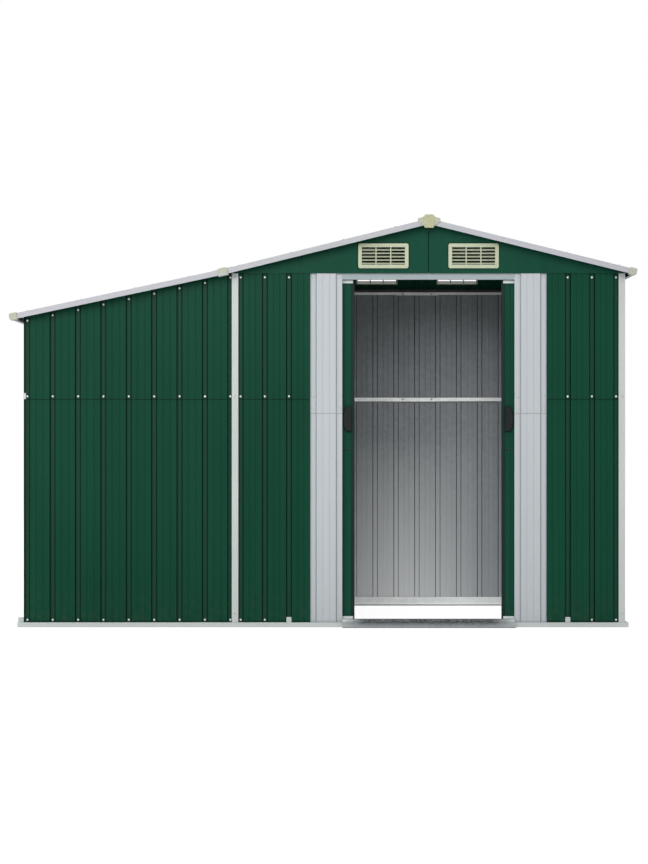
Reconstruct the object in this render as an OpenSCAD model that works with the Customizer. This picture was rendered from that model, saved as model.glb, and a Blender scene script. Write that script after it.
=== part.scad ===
// Metal storage shed with a low gable roof, two sliding doors and a lean-to store on its left.
// X runs to the right as seen from the doors, Y runs to the back, Z is up.

/* [Walls] */
// Width of the closed shed between the outer faces of its side walls
shed_w = 1741; // [1500:1:2200]
// Width of the lean-to, from the shed's side wall to its open edge
leanto_w = 925; // [600:1:1300]
// Depth between the outer faces of the front and back walls
wall_d = 985; // [800:1:2000]
// Height of the wall panels above the ground
wall_h = 1573; // [1400:1:2000]
// Height of the lower edge of the upper green panels
seam_z = 1011; // [800:1:1200]
// Height of the lower edge of the upper jamb panels
jamb_seam_z = 949; // [780:1:990]
// How far an upper panel laps over the lower one
lap = 26; // [10:1:40]

/* [Sheet] */
// Thickness of the ribbed sheet
sheet_t = 0.8; // [0.5:0.1:1.5]
// Depth of the grooves
groove_d = 7; // [4:0.5:12]
// Width of a groove at its mouth
groove_w = 26; // [18:1:34]
// Width of a groove's sloping flank
flank_w = 3.5; // [2:0.5:6]
// Spacing of the grooves on the lean-to walls
leanto_pitch_w = 112; // [90:1:130]
// Spacing of the grooves on the shed's walls
shed_pitch_w = 106; // [90:1:130]
// Distance of a bead from the edge of its field
bead_in = 27; // [18:1:32]
// Depth of a bead
bead_d = 0.8; // [0.3:0.1:2]

/* [Roof] */
// Slope of the shed's roof in degrees
roof_pitch = 13.8; // [10:0.1:20]
// Slope of the lean-to's roof in degrees
leanto_pitch = 12; // [8:0.1:13]
// Height of the roof's underside above the side wall
eave_lift = 10; // [8:1:30]
// How far the shed's roof runs out past its side walls
eave_out = 40; // [30:1:70]
// How far the lean-to's roof runs out past its open edge
leanto_out = 50; // [30:1:80]
// How far the roof runs out past the front and back walls
gable_out = 54; // [45:1:90]
// Height of the trim along the gables
rake_h = 24; // [20:1:40]
// Width of the trim's leg on top of the roof
rake_leg = 40; // [25:1:60]

/* [Frame] */
// Thickness of the folded rails and trims
rail_t = 1.2; // [0.8:0.1:2]
// Distance of the rails' back from the outer face of the wall
rail_back = 21; // [18:1:24]
// Height of the mid rails and of the top rails of the back wall and the lean-to
mid_rail_h = 25; // [20:1:26]
// Height of the rail over the doorway
header_h = 31; // [28:1:50]
// Width of a corner post's legs
post_w = 27; // [24:1:40]
// Height of the base rails
base_h = 21; // [15:1:24]
// How far the base rails stand out past the walls
base_out = 15; // [8:1:20]
// How far the base runs out past the open edge of the lean-to
base_edge_out = 26; // [10:1:30]
// Depth of the roof beams
beam_h = 38; // [25:1:60]
// Width of the roof beams
beam_w = 36; // [24:1:60]

/* [Doors] */
// Width of the doorway between the jamb panels
door_w = 765; // [700:1:800]
// Width of a jamb panel
jamb_w = 142; // [110:1:170]
// Width of one sliding leaf
leaf_w = 400; // [390:1:430]
// How much of an open leaf shows in the doorway
leaf_show = 55; // [45:1:80]
// Height of a leaf's lower edge
leaf_z = 28; // [24:1:34]
// Depth of a leaf from front to back
leaf_d = 15; // [12:1:16]
// Height of a leaf's top rail
leaf_top_h = 13; // [10:1:30]
// Height of a leaf's bottom rail
leaf_bottom_h = 17; // [12:1:30]
// Width of a leaf's stiles
stile_w = 14; // [10:1:16]
// Height of the joint between a leaf's two panels
leaf_seam_z = 789; // [600:1:900]
// Height of a handle's centre
handle_z = 923; // [850:1:1100]
// Height of the sill in the doorway
sill_h = 35; // [30:1:50]
// How far the sill runs out in front of the wall
sill_out = 46; // [30:1:52]

/* [Vents] */
// Width of a vent
vent_w = 223; // [180:1:240]
// Height of a vent
vent_h = 110; // [90:1:120]
// Distance of a vent's centre from the ridge line
vent_x = 200; // [150:1:220]
// Height of a vent's lower edge above the wall panels
vent_lift = 18; // [8:1:25]

/* [Hidden] */
$fn = 48;
GREEN = "#22493a";
WHITE = "#c8cdce";
ZINC = "#a3a9ab";
CREAM = "#cbceb2";
DARK = "#2b3130";

// Running fits, gaps and small fixed sizes
seat_gap = 0.3;
seam_gap = 0.6;
gable_gap = 3;
clear = 5;
cap_t = 4;
cap_front = 6;
cap_in = 28;
cap_run = 30;
cap_chamfer = 5;
bead_w = 8;
edge_flat = 2;

// Levels of the roof, measured square to its slope from the underside of the sheets
sheet_top = groove_d + sheet_t;
trim_top = sheet_top + rail_t;
cover_top = trim_top + rail_t;
cap_top = trim_top + cap_t;
cap_floor = 3;
cap_low = trim_top - rake_h - cap_floor;

// Roof lengths along the slope, from the ridge or from the joint with the lean-to
main_run = shed_w / 2 + eave_out;
main_len = main_run / cos(roof_pitch);
leanto_run = leanto_w + leanto_out - eave_out;
leanto_len = leanto_run / cos(leanto_pitch);

// Reach of the end caps to the right and left of the ridge, which centres the shed on the origin
function cap_reach(length, slope) =
    (length + rail_t + cap_t) * cos(slope) + (cap_top - cap_chamfer) * sin(slope);
reach_right = cap_reach(main_len, roof_pitch);
reach_left = main_run + cap_reach(leanto_len, leanto_pitch);

ridge_x = (reach_left - reach_right) / 2;
left_x = ridge_x - shed_w / 2;
right_x = ridge_x + shed_w / 2;
edge_x = left_x - leanto_w;
joint_x = ridge_x - main_run;

// Underside of the roof
ridge_z = wall_h + eave_lift + shed_w / 2 * tan(roof_pitch);
joint_z = ridge_z - main_run * tan(roof_pitch);
function main_z(x) = ridge_z - abs(x - ridge_x) * tan(roof_pitch);
function roof_z(x) = x >= joint_x ? main_z(x) : joint_z - (joint_x - x) * tan(leanto_pitch);

half_d = wall_d / 2;
rake_y = half_d + gable_out;
post_out = sheet_t + rail_t;
rail_front = groove_d + sheet_t;
inner_y = half_d - rail_back;
base_foot = 16;
base_leg = 22;
base_skirt = 5;
groove_in = 10;

door_left = ridge_x - door_w / 2;
door_right = ridge_x + door_w / 2;
header_z = wall_h - header_h;
track_lift = 3;
track_front = rail_back;
track_spare = 1;
track_back = rail_back + 2 * clear + leaf_d + track_spare;
track_mid = (track_front + track_back) / 2;
track_z = header_z + track_lift;
leaf_front = track_mid - leaf_d / 2;
leaf_back = track_mid + leaf_d / 2;
leaf_top_z = track_z - clear;
leaf_lead_x = door_left + leaf_show;
leaf_trail_x = leaf_lead_x - leaf_w;
floor_track_h = leaf_z - clear - track_lift;

// Folded strip of even thickness along a path
function unit(v) = v / norm(v);
function square_to(v) = [-v[1], v[0]];
function mitre(p, i) =
    let (
        last = len(p) - 1,
        before = square_to(unit(i > 0 ? p[i] - p[i - 1] : p[1] - p[0])),
        after = square_to(unit(i < last ? p[i + 1] - p[i] : p[last] - p[last - 1])),
        s = before + after
    )
    2 * s / (s * s);
function strip(p, t) = concat(
    [for (i = [0 : len(p) - 1]) p[i] + mitre(p, i) * t / 2],
    [for (i = [len(p) - 1 : -1 : 0]) p[i] - mitre(p, i) * t / 2]
);

// Outline of a ribbed sheet from a to b: grooves at the given centres, two beads on each wide field
function groove(c) = [
    [c - groove_w / 2, 0], [c - groove_w / 2 + flank_w, groove_d],
    [c + groove_w / 2 - flank_w, groove_d], [c + groove_w / 2, 0]
];
function bead(c) = [[c - bead_w / 2, 0], [c, bead_d], [c + bead_w / 2, 0]];
function field(a, b) = b - a > 2 * bead_in + 2 * bead_w ? concat(bead(a + bead_in), bead(b - bead_in)) : [];
function grooves(a, b, pitch) =
    let (count = max(1, round((b - a) / pitch)), step = (b - a) / count)
    [for (i = [0 : count]) a + i * step];
function ribs(a, b, centres) =
    let (
        last = len(centres) - 1,
        starts = concat([a], [for (c = centres) c + groove_w / 2]),
        ends = concat([for (c = centres) c - groove_w / 2], [b])
    )
    concat(
        [[a, 0]],
        [for (i = [0 : last + 1])
            each concat(field(starts[i], ends[i]), i <= last ? groove(centres[i]) : [])],
        [[b, 0]]
    );
function doubled(p) = concat(p, [for (i = [len(p) - 1 : -1 : 0]) p[i] + [0, sheet_t]]);

// Placing: each wall is drawn along X with its depth inwards along Y from its outer face
module at_front() { translate([0, -half_d, 0]) children(); }
module at_back() { mirror([0, 1, 0]) at_front() children(); }
module at_right() { translate([right_x, 0, 0]) rotate(90) children(); }
module at_left() { translate([left_x, 0, 0]) rotate(-90) children(); }
module front_and_back() {
    at_front() children();
    at_back() children();
}
module swap_sides() { translate([2 * ridge_x, 0, 0]) mirror([1, 0, 0]) children(); }
module both_sides() {
    children();
    swap_sides() children();
}

// Placing on the roof: X down the slope, Z square to it from the underside of the sheets
module on_right_slope() { translate([ridge_x, 0, ridge_z]) rotate([0, roof_pitch, 0]) children(); }
module on_left_slope() { swap_sides() on_right_slope() children(); }
module on_leanto_slope() {
    translate([joint_x, 0, joint_z]) mirror([1, 0, 0]) rotate([0, leanto_pitch, 0]) children();
}

// Extruding an outline along X, along Y or upwards
module along_x(a, b) { translate([a, 0, 0]) rotate([90, 0, 90]) linear_extrude(b - a) children(); }
module along_y(a, b) { translate([0, b, 0]) rotate([90, 0, 0]) linear_extrude(b - a) children(); }
module upright(a, b) { translate([0, 0, a]) linear_extrude(b - a) children(); }
module folded(p) { polygon(strip(p, rail_t)); }
module ribbed(a, b, centres) { polygon(doubled(ribs(a, b, centres))); }
module rounded(w, h, r) {
    square([w - 2 * r, h], center = true);
    square([w, h - 2 * r], center = true);
    for (x = [-1, 1], y = [-1, 1]) translate([x * (w / 2 - r), y * (h / 2 - r)]) circle(r);
}

// Lower panels stand on the base rail, upper ones lap over them from outside
module lower_panel(seam) { upright(base_h, seam + lap) children(); }
module upper_panel(seam, top) { translate([0, -sheet_t, 0]) upright(seam, top) children(); }

// Base
module base_profile() {
    leg = rail_front + rail_t / 2;
    folded([
        [base_foot, rail_t / 2], [-base_out + rail_t / 2, rail_t / 2],
        [-base_out + rail_t / 2, base_h - rail_t / 2], [leg, base_h - rail_t / 2]
    ]);
    folded([[leg, base_skirt], [leg, base_h + base_leg]]);
}
module base_side() { along_x(-half_d + base_foot, half_d - base_foot) base_profile(); }
module base_rail(a, b) {
    difference() {
        along_x(a, b) base_profile();
        post_notches();
    }
}
module post_notches() {
    both_sides() translate([right_x + sheet_t - seat_gap, rail_front - seat_gap, base_h])
        cube([base_out, rail_t + 2 * seat_gap, 2 * base_leg]);
}
module base_rail_front() {
    color(WHITE) at_front() {
        base_rail(edge_x - base_edge_out, door_left);
        base_rail(door_right, right_x + base_out);
    }
}
module base_rail_back() { color(WHITE) at_back() base_rail(edge_x - base_edge_out, right_x + base_out); }
module base_rails_side() {
    edge_profile = [
        [base_foot, rail_t / 2], [-base_edge_out + rail_t / 2, rail_t / 2],
        [-base_edge_out + rail_t / 2, base_h - rail_t / 2], [base_foot, base_h - rail_t / 2]
    ];
    color(WHITE) {
        at_right() base_side();
        at_left() base_side();
        translate([-leanto_w, 0, 0]) at_left()
            along_x(-half_d + base_foot, half_d - base_foot) folded(edge_profile);
    }
}
module door_sill() {
    nose = 5;
    tread = 14;
    profile = [
        [-sill_out, rail_t / 2], [-sill_out, nose], [-tread, sill_h - 2 * nose],
        [-tread + nose, sill_h - rail_t / 2], [base_foot, sill_h - rail_t / 2], [base_foot, rail_t / 2]
    ];
    color(ZINC) at_front() along_x(door_left, door_right) folded(profile);
}
module door_floor_track() {
    a = base_foot + rail_t;
    b = track_back;
    profile = [[a, floor_track_h], [a, rail_t / 2], [b, rail_t / 2], [b, floor_track_h]];
    color(ZINC) at_front() along_x(leaf_trail_x - clear, 2 * ridge_x - leaf_trail_x + clear) folded(profile);
}

// Posts
module corner_post() {
    face = sheet_t + rail_t / 2;
    upright(base_h, wall_h)
        folded([[right_x - post_w, -face], [right_x + face, -face], [right_x + face, post_w]]);
}
module corner_posts_front() { color(WHITE) at_front() both_sides() corner_post(); }
module corner_posts_back() { color(WHITE) at_back() both_sides() corner_post(); }
module leanto_posts() {
    leg = rail_back + rail_t / 2;
    color(WHITE) front_and_back() difference() {
        upright(base_h, wall_h)
            folded([[edge_x + post_w, leg], [edge_x + rail_t / 2, leg], [edge_x + rail_t / 2, leg + post_w]]);
        translate([0, half_d, 0]) on_leanto_slope()
            translate([0, -wall_d, -beam_h]) cube([2 * leanto_len, 2 * wall_d, wall_h]);
    }
}

// Lean-to walls, with the upper panel cut along the roof
leanto_end_x = left_x - post_out - seat_gap;
module leanto_profile() {
    first = edge_x + groove_w / 2 + edge_flat;
    last = leanto_end_x - groove_w / 4;
    intersection() {
        ribbed(edge_x, leanto_end_x + groove_w, grooves(first, last, leanto_pitch_w));
        translate([edge_x, 0]) square([leanto_end_x - edge_x, rail_back]);
    }
}
module leanto_lower() { lower_panel(seam_z) leanto_profile(); }
module leanto_upper() {
    intersection() {
        upper_panel(seam_z, ridge_z) leanto_profile();
        along_y(-groove_w, groove_w) polygon([
            [edge_x, seam_z], [leanto_end_x, seam_z], [leanto_end_x, roof_z(leanto_end_x)],
            [joint_x, joint_z], [edge_x, roof_z(edge_x)]
        ]);
    }
}
module leanto_front_lower() { color(GREEN) at_front() leanto_lower(); }
module leanto_front_upper() { color(GREEN) at_front() leanto_upper(); }
module leanto_back_lower() { color(GREEN) at_back() leanto_lower(); }
module leanto_back_upper() { color(GREEN) at_back() leanto_upper(); }

// Front wall beside the doorway: green panels, then a white jamb panel with a raised field
jamb_left = door_left - jamb_w;
module front_profile() {
    centres = grooves(left_x + post_w + groove_in, jamb_left + groove_w / 2, shed_pitch_w);
    ribbed(left_x, jamb_left, [for (i = [0 : len(centres) - 2]) centres[i]]);
}
module jamb_face() {
    screw_strip = 25;
    a = jamb_left + screw_strip;
    b = door_left - screw_strip;
    polygon(doubled(concat(
        [[jamb_left, groove_d], [a, groove_d], [a + flank_w, 0]],
        field(a + flank_w, b - flank_w),
        [[b - flank_w, 0], [b, groove_d], [door_left - sheet_t, groove_d]]
    )));
}
module jamb_flange() {
    translate([door_left - sheet_t, groove_d]) square([sheet_t, rail_back - rail_t - groove_d]);
}
module jamb_lower() {
    lower_panel(jamb_seam_z) jamb_face();
    upright(sill_h, jamb_seam_z) jamb_flange();
}
module jamb_upper() {
    upper_panel(jamb_seam_z, wall_h) jamb_face();
    upper_panel(jamb_seam_z, header_z) jamb_flange();
}
module front_wall_lower() { color(GREEN) at_front() both_sides() lower_panel(seam_z) front_profile(); }
module front_wall_upper() {
    color(GREEN) at_front() both_sides() upper_panel(seam_z, wall_h) front_profile();
}
module jamb_panels_lower() { color(WHITE) at_front() both_sides() jamb_lower(); }
module jamb_panels_upper() { color(WHITE) at_front() both_sides() jamb_upper(); }

// Side walls and back wall
module wall_profile(a, b) {
    inset = post_w + groove_in;
    ribbed(a, b, grooves(a + inset, b - inset, shed_pitch_w));
}
module side_lower() { lower_panel(seam_z) wall_profile(-inner_y, inner_y); }
module side_upper() { upper_panel(seam_z, wall_h) wall_profile(-inner_y, inner_y); }
module right_wall_lower() { color(GREEN) at_right() side_lower(); }
module right_wall_upper() { color(GREEN) at_right() side_upper(); }
module left_wall_lower() { color(GREEN) at_left() side_lower(); }
module left_wall_upper() { color(GREEN) at_left() side_upper(); }
module back_wall_lower() { color(GREEN) at_back() lower_panel(seam_z) wall_profile(left_x, right_x); }
module back_wall_upper() { color(GREEN) at_back() upper_panel(seam_z, wall_h) wall_profile(left_x, right_x); }

// Gables, each in two halves folded in at the wall below and lapped at the middle, and their vents
vent_z = wall_h + vent_lift + vent_h / 2;
vent_rim = 16;
vent_lap = 8;
vent_r = 9;
module vent_places() {
    for (side = [-1, 1]) translate([ridge_x + side * vent_x, 0, vent_z]) rotate([90, 0, 0]) children();
}
module gable() {
    flange = 14;
    lip = 4;
    lip_z = wall_h - lip;
    inner_x = ridge_x + gable_gap / 2;
    fold_x = ridge_x - gable_gap / 2 - sheet_t / 2;
    fold_y = flange + seam_gap - sheet_t / 2;
    fold_z = ridge_z - beam_h - clear;
    fold = [[fold_x, -sheet_t], [fold_x, fold_y], [inner_x + sheet_t, fold_y]];
    difference() {
        union() {
            both_sides() {
                along_y(-sheet_t, 0) polygon([
                    [inner_x, lip_z], [right_x, lip_z], [right_x, roof_z(right_x)], [inner_x, roof_z(inner_x)]
                ]);
                translate([inner_x, -sheet_t, wall_h]) cube([right_x - inner_x, flange, sheet_t]);
            }
            translate([inner_x, -sheet_t, wall_h]) cube([sheet_t, flange, fold_z - wall_h]);
            upright(wall_h, fold_z) polygon(strip(fold, sheet_t));
        }
        vent_places() linear_extrude(2 * cap_t, center = true)
            rounded(vent_w - 2 * vent_lap, vent_h - 2 * vent_lap, vent_r - cap_t);
    }
}

// Vents: a rimmed plate, slats that slope down to the outside, upright bars and a collar in the gable
module louvres() {
    slats = 5;
    columns = 3;
    bar = 5;
    slat_t = 2.4;
    slat_in = 1.5;
    slat_front = sheet_t + slat_in;
    slat_run = 8;
    slat_rise = 5;
    slat_low = 2.5;
    slat_step = 15;
    window_w = vent_w - 2 * vent_rim;
    window_h = vent_h - 2 * vent_rim;
    slat_h = slat_rise + slat_t;
    bar_step = (window_w + bar) / columns;
    for (i = [0 : slats - 1])
        translate([0, slat_low + i * slat_step - window_h / 2, 0]) rotate([0, 90, 0])
            linear_extrude(window_w + 2 * seam_gap, center = true) polygon([
                [-slat_front, 0], [slat_run - slat_front, slat_rise],
                [slat_run - slat_front, slat_h], [-slat_front, slat_t]
            ]);
    for (i = [1 : columns - 1])
        translate([i * bar_step - (window_w + bar) / 2, 0, slat_front - slat_run / 2])
            cube([bar, window_h + 2 * seam_gap, slat_run], center = true);
}
module vents() {
    collar = 10;
    fit_w = vent_w - 2 * vent_lap - 2 * seat_gap;
    fit_h = vent_h - 2 * vent_lap - 2 * seat_gap;
    vent_places() {
        louvres();
        difference() {
            union() {
                translate([0, 0, sheet_t]) linear_extrude(cap_t) rounded(vent_w, vent_h, vent_r);
                translate([0, 0, -collar]) linear_extrude(collar + sheet_t)
                    rounded(fit_w, fit_h, vent_r - cap_t - seat_gap);
            }
            cube([vent_w - 2 * vent_rim, vent_h - 2 * vent_rim, 4 * collar], center = true);
        }
    }
}
module over_posts() { translate([0, -post_out, 0]) children(); }
module front_gable() { color(GREEN) at_front() over_posts() gable(); }
module back_gable() { color(GREEN) at_back() over_posts() gable(); }
module front_vents() { color(CREAM) at_front() over_posts() vents(); }
module back_vents() { color(CREAM) at_back() over_posts() vents(); }

// Rails behind the panels
top_lip = 15.5;
splice_drop = 2;
mid_lip = 17;
mid_top_z = seam_z + mid_rail_h;
function channel(front, low, high) = [
    [rail_back - rail_t / 2, low + top_lip], [rail_back - rail_t / 2, low + rail_t / 2],
    [front + rail_t / 2, low + rail_t / 2], [front + rail_t / 2, high - rail_t / 2],
    [rail_back, high - rail_t / 2]
];
function hook(front, low, high, lip) = [
    [rail_back - rail_t / 2, high - lip], [rail_back - rail_t / 2, high - rail_t / 2],
    [front + rail_t / 2, high - rail_t / 2], [front + rail_t / 2, low]
];
module top_rail(height) { along_x(left_x, right_x) folded(channel(groove_d, wall_h - height, wall_h)); }
module side_top_rail() {
    lip = 2 * rail_back;
    drop = rail_t / 2 / cos(roof_pitch);
    web = groove_d + rail_t / 2;
    along_x(-inner_y, inner_y) folded([
        [rail_back, header_z + rail_t / 2], [web, header_z + rail_t / 2],
        [web, main_z(right_x - web) - drop], [lip, main_z(right_x - lip) - drop]
    ]);
}
module door_header() { color(WHITE) at_front() top_rail(header_h); }

// The back wall's rails come in two lengths, joined below the ridge by a folded plate on their inner lips
module spliced(low, high) {
    length = 212;
    turn = 6;
    seat = rail_back + rail_t / 2 - seat_gap;
    difference() {
        children();
        translate([ridge_x - seam_gap / 2, 0, seam_z]) cube([seam_gap, 2 * rail_back, wall_h]);
    }
    along_x(ridge_x - length / 2, ridge_x + length / 2)
        folded([[seat, high], [seat, low - splice_drop], [seat - turn, low - splice_drop]]);
}
module back_top_rail() {
    low = wall_h - mid_rail_h;
    color(WHITE) at_back() spliced(low, low + top_lip - splice_drop) top_rail(mid_rail_h);
}
module side_top_rails() {
    color(WHITE) {
        at_right() side_top_rail();
        at_left() side_top_rail();
    }
}
module leanto_top_rails() {
    start = (joint_x - leanto_end_x + edge_flat) / cos(leanto_pitch) + mid_rail_h * tan(leanto_pitch);
    end = (joint_x - edge_x) / cos(leanto_pitch);
    color(WHITE) for (side = [0, 1]) mirror([0, side, 0]) on_leanto_slope() translate([0, -half_d, 0])
        along_x(start, end) folded(channel(groove_d, -mid_rail_h, 0));
}
module mid_rail(a, b) { along_x(a, b) folded(hook(rail_front, seam_z, mid_top_z, mid_lip)); }
module leanto_mid_rail() {
    rail_end = 3;
    mid_rail(edge_x - rail_end, leanto_end_x);
}
module front_mid_rails() {
    color(WHITE) at_front() {
        both_sides() mid_rail(left_x, door_left - sheet_t);
        leanto_mid_rail();
    }
}
module back_mid_rails() {
    color(WHITE) at_back() {
        spliced(mid_top_z - mid_lip, mid_top_z - splice_drop) mid_rail(left_x, right_x);
        leanto_mid_rail();
    }
}
module side_mid_rails() {
    color(WHITE) {
        at_right() mid_rail(-inner_y, inner_y);
        at_left() mid_rail(-inner_y, inner_y);
    }
}
module door_track() {
    lip = 8;
    half = rail_t / 2;
    front = track_front + half;
    back = track_back - half;
    profile = [
        [front + lip, track_z + half], [front, track_z + half], [front, wall_h - half],
        [back, wall_h - half], [back, track_z + half], [back - lip, track_z + half]
    ];
    color(ZINC) at_front() along_x(left_x + rail_back, right_x - rail_back) folded(profile);
}

// Roof beams
module beam(length) {
    half = beam_w / 2 - rail_t / 2;
    along_y(-length / 2, length / 2)
        folded([[-half, -beam_h], [-half, -rail_t / 2], [half, -rail_t / 2], [half, -beam_h]]);
}
module ridge_beam() {
    half = beam_w / 2 - rail_t / 2;
    drop = rail_t / 2 / cos(roof_pitch);
    side_z = -half * tan(roof_pitch) - drop;
    translate([ridge_x, 0, ridge_z]) along_y(-half_d, half_d)
        folded([[-half, -beam_h], [-half, side_z], [0, -drop], [half, side_z], [half, -beam_h]]);
}
module roof_beams() {
    edge_u = (joint_x - edge_x) / cos(leanto_pitch) - beam_w / 2;
    color(ZINC) {
        ridge_beam();
        on_right_slope() translate([main_len / 2, 0, 0]) beam(wall_d);
        on_left_slope() translate([main_len / 2, 0, 0]) beam(wall_d);
        on_leanto_slope() translate([edge_u / 2, 0, 0]) beam(2 * inner_y);
        on_leanto_slope() translate([edge_u, 0, 0]) beam(2 * inner_y);
    }
}

// Roof sheets, with their ribs running down the slope
module roof_sheet(start, end) {
    side = rake_y - rail_t;
    first = -side + groove_w / 2 + rake_leg;
    outline = doubled(ribs(-side, side, grooves(first, -first, shed_pitch_w)));
    along_x(start, end) polygon([for (p = outline) [p[0], sheet_top - p[1]]]);
}
module roof_right() { color(GREEN) on_right_slope() roof_sheet(seam_gap, main_len); }
module roof_left() { color(GREEN) on_left_slope() roof_sheet(seam_gap, main_len); }
module roof_leanto() { color(GREEN) on_leanto_slope() roof_sheet(seam_gap, leanto_len); }

// Roof trims
module rake_trim(start, end) {
    half = rail_t / 2;
    for (side = [0, 1]) mirror([0, side, 0]) along_x(start, end) folded([
        [-rake_y + rake_leg, sheet_top + half], [-rake_y + half, sheet_top + half],
        [-rake_y + half, trim_top - rake_h]
    ]);
}
module rake_trims() {
    ridge_start = rake_h * tan(roof_pitch) + seam_gap;
    color(WHITE) {
        on_right_slope() rake_trim(ridge_start, main_len);
        on_left_slope() rake_trim(ridge_start, main_len);
        on_leanto_slope() rake_trim(2 * seam_gap, leanto_len);
    }
}
module eave_trim(length) {
    lip = 12;
    half = rail_t / 2;
    low = trim_top - rake_h + half;
    along_y(-rake_y + rail_t, rake_y - rail_t)
        folded([[length + half, sheet_top], [length + half, low], [length - lip, low]]);
}
module eave_trims() {
    color(WHITE) {
        on_right_slope() eave_trim(main_len);
        on_leanto_slope() eave_trim(leanto_len);
    }
}
cover_leg = 45;
cover_mid = trim_top + rail_t / 2;
function below_ridge(u, w) = [
    u * cos(roof_pitch) + w * sin(roof_pitch), w * cos(roof_pitch) - u * sin(roof_pitch)
];
function below_joint(u, w) = [
    -u * cos(leanto_pitch) - w * sin(leanto_pitch), w * cos(leanto_pitch) - u * sin(leanto_pitch)
];
function mirrored(p) = [-p[0], p[1]];
function both_halves(p) = concat(p, [for (i = [len(p) - 1 : -1 : 0]) mirrored(p[i])]);
function ridge_fold(w, leg) = [
    mirrored(below_ridge(leg, w)), [0, w / cos(roof_pitch)], below_ridge(leg, w)
];
module ridge_cap() {
    color(WHITE) translate([ridge_x, 0, ridge_z]) along_y(-rake_y, rake_y)
        folded(ridge_fold(cover_mid, cover_leg));
}
joint_slope = (roof_pitch + leanto_pitch) / 2;
module roof_joint_trim() {
    up = mirrored(below_ridge(-cover_leg, cover_mid));
    bend = cover_mid / cos((roof_pitch - leanto_pitch) / 2) * [-sin(joint_slope), cos(joint_slope)];
    color(WHITE) translate([joint_x, 0, joint_z]) along_y(-rake_y, rake_y)
        folded([up, bend, below_joint(cover_leg, cover_mid)]);
}

// Moulded caps over the ends of the ridge and the eaves
cap_y = rake_y + cap_front;
module each_end() {
    for (side = [0, 1]) mirror([0, side, 0]) children();
}
module ridge_end_cap() {
    crest = 13;
    wing_x = 50;
    wing_low_z = -5;
    top_z = cap_top / cos(roof_pitch) + crest;
    top = [16, top_z];
    shoulder = [28, top_z - 11.5];
    wing = [wing_x, top_z - 16.5];
    knee = [23, -24];
    foot = [19, -32];
    boss_in = [2, 1];
    edge = [top, shoulder, wing, [wing_x, wing_low_z], knee, foot];
    boss = [top, shoulder - boss_in, foot];
    along_y(-cap_y + cap_front - cap_t, -rake_y) polygon(both_halves(edge));
    along_y(-cap_y, -rake_y) polygon(both_halves(boss));
    along_y(-rake_y, -rake_y + cap_run) polygon(strip(ridge_fold(cover_top + cap_t / 2, cover_leg), cap_t));
}
module ridge_end_caps() { color(CREAM) each_end() translate([ridge_x, 0, ridge_z]) ridge_end_cap(); }
module eave_end_cap(length) {
    a = length - cap_in;
    b = length + rail_t + cap_t;
    c = cap_chamfer;
    difference() {
        along_y(-cap_y, -rake_y + cap_run) polygon([
            [a, cap_low], [b - c, cap_low], [b, cap_low + c], [b, cap_top - c], [b - c, cap_top], [a, cap_top]
        ]);
        translate([a - c, -rake_y, trim_top - rake_h]) cube([cap_in + c + rail_t, 2 * cap_run, rake_h]);
    }
}
module joint_end_cap() {
    half = 22;
    room = seat_gap + half * tan((roof_pitch - leanto_pitch) / 2);
    c = cap_chamfer;
    top = cover_top + room + cap_t;
    low = trim_top - rake_h - room;
    difference() {
        along_y(-cap_y, -rake_y + cap_run) polygon([
            [-half, low - cap_t], [half, low - cap_t], [half, top - c],
            [half - c, top], [c - half, top], [-half, top - c]
        ]);
        translate([-2 * half, -rake_y, low]) cube([4 * half, 2 * cap_run, cover_top + room - low]);
    }
}
module eave_end_caps() {
    color(CREAM) each_end() {
        on_right_slope() eave_end_cap(main_len);
        on_leanto_slope() eave_end_cap(leanto_len);
        translate([joint_x, 0, joint_z]) rotate([0, -joint_slope, 0]) joint_end_cap();
    }
}

// Doors: the left leaf is drawn and the right one mirrors it about the middle of the doorway
panel_in = 1.5;
panel_y = leaf_front + panel_in;
module leaf_channel(low, high) {
    half = rail_t / 2;
    web = leaf_front + half;
    folded([[leaf_back, low + half], [web, low + half], [web, high - half], [leaf_back, high - half]]);
}
module leaf_panels() {
    a = leaf_trail_x + stile_w;
    b = leaf_lead_x - stile_w;
    low = leaf_z + leaf_bottom_h;
    high = leaf_top_z - leaf_top_h;
    profile = concat([[a, 0]], field(a, b), [[b, 0]]);
    translate([0, panel_y, 0]) {
        upright(low, leaf_seam_z - seam_gap / 2) polygon(doubled(profile));
        upright(leaf_seam_z + seam_gap / 2, high) polygon(doubled(profile));
    }
}
module leaf_rails() {
    along_x(leaf_trail_x + stile_w / 2, leaf_lead_x - stile_w / 2) {
        leaf_channel(leaf_z, leaf_z + leaf_bottom_h);
        leaf_channel(leaf_top_z - leaf_top_h, leaf_top_z);
    }
}
module leaf_stiles() {
    half = rail_t / 2;
    lead = [
        [leaf_lead_x - stile_w + half, leaf_back], [leaf_lead_x - stile_w + half, leaf_front + half],
        [leaf_lead_x - half, leaf_front + half], [leaf_lead_x - half, leaf_back]
    ];
    difference() {
        for (x = [0, stile_w - leaf_w]) translate([x, 0, 0]) upright(leaf_z, leaf_top_z) folded(lead);
        for (z = [leaf_z - leaf_bottom_h, leaf_top_z - leaf_top_h])
            translate([leaf_trail_x + stile_w / 2, leaf_front - clear, z])
                cube([leaf_w - stile_w, leaf_d + 2 * clear, 2 * leaf_bottom_h]);
    }
}
module bowed(w, h, r, inset) {
    intersection() {
        translate([r, 0]) circle(r - inset);
        translate([inset, 2 * inset - h / 2]) square([w, h - 4 * inset]);
    }
}
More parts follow.
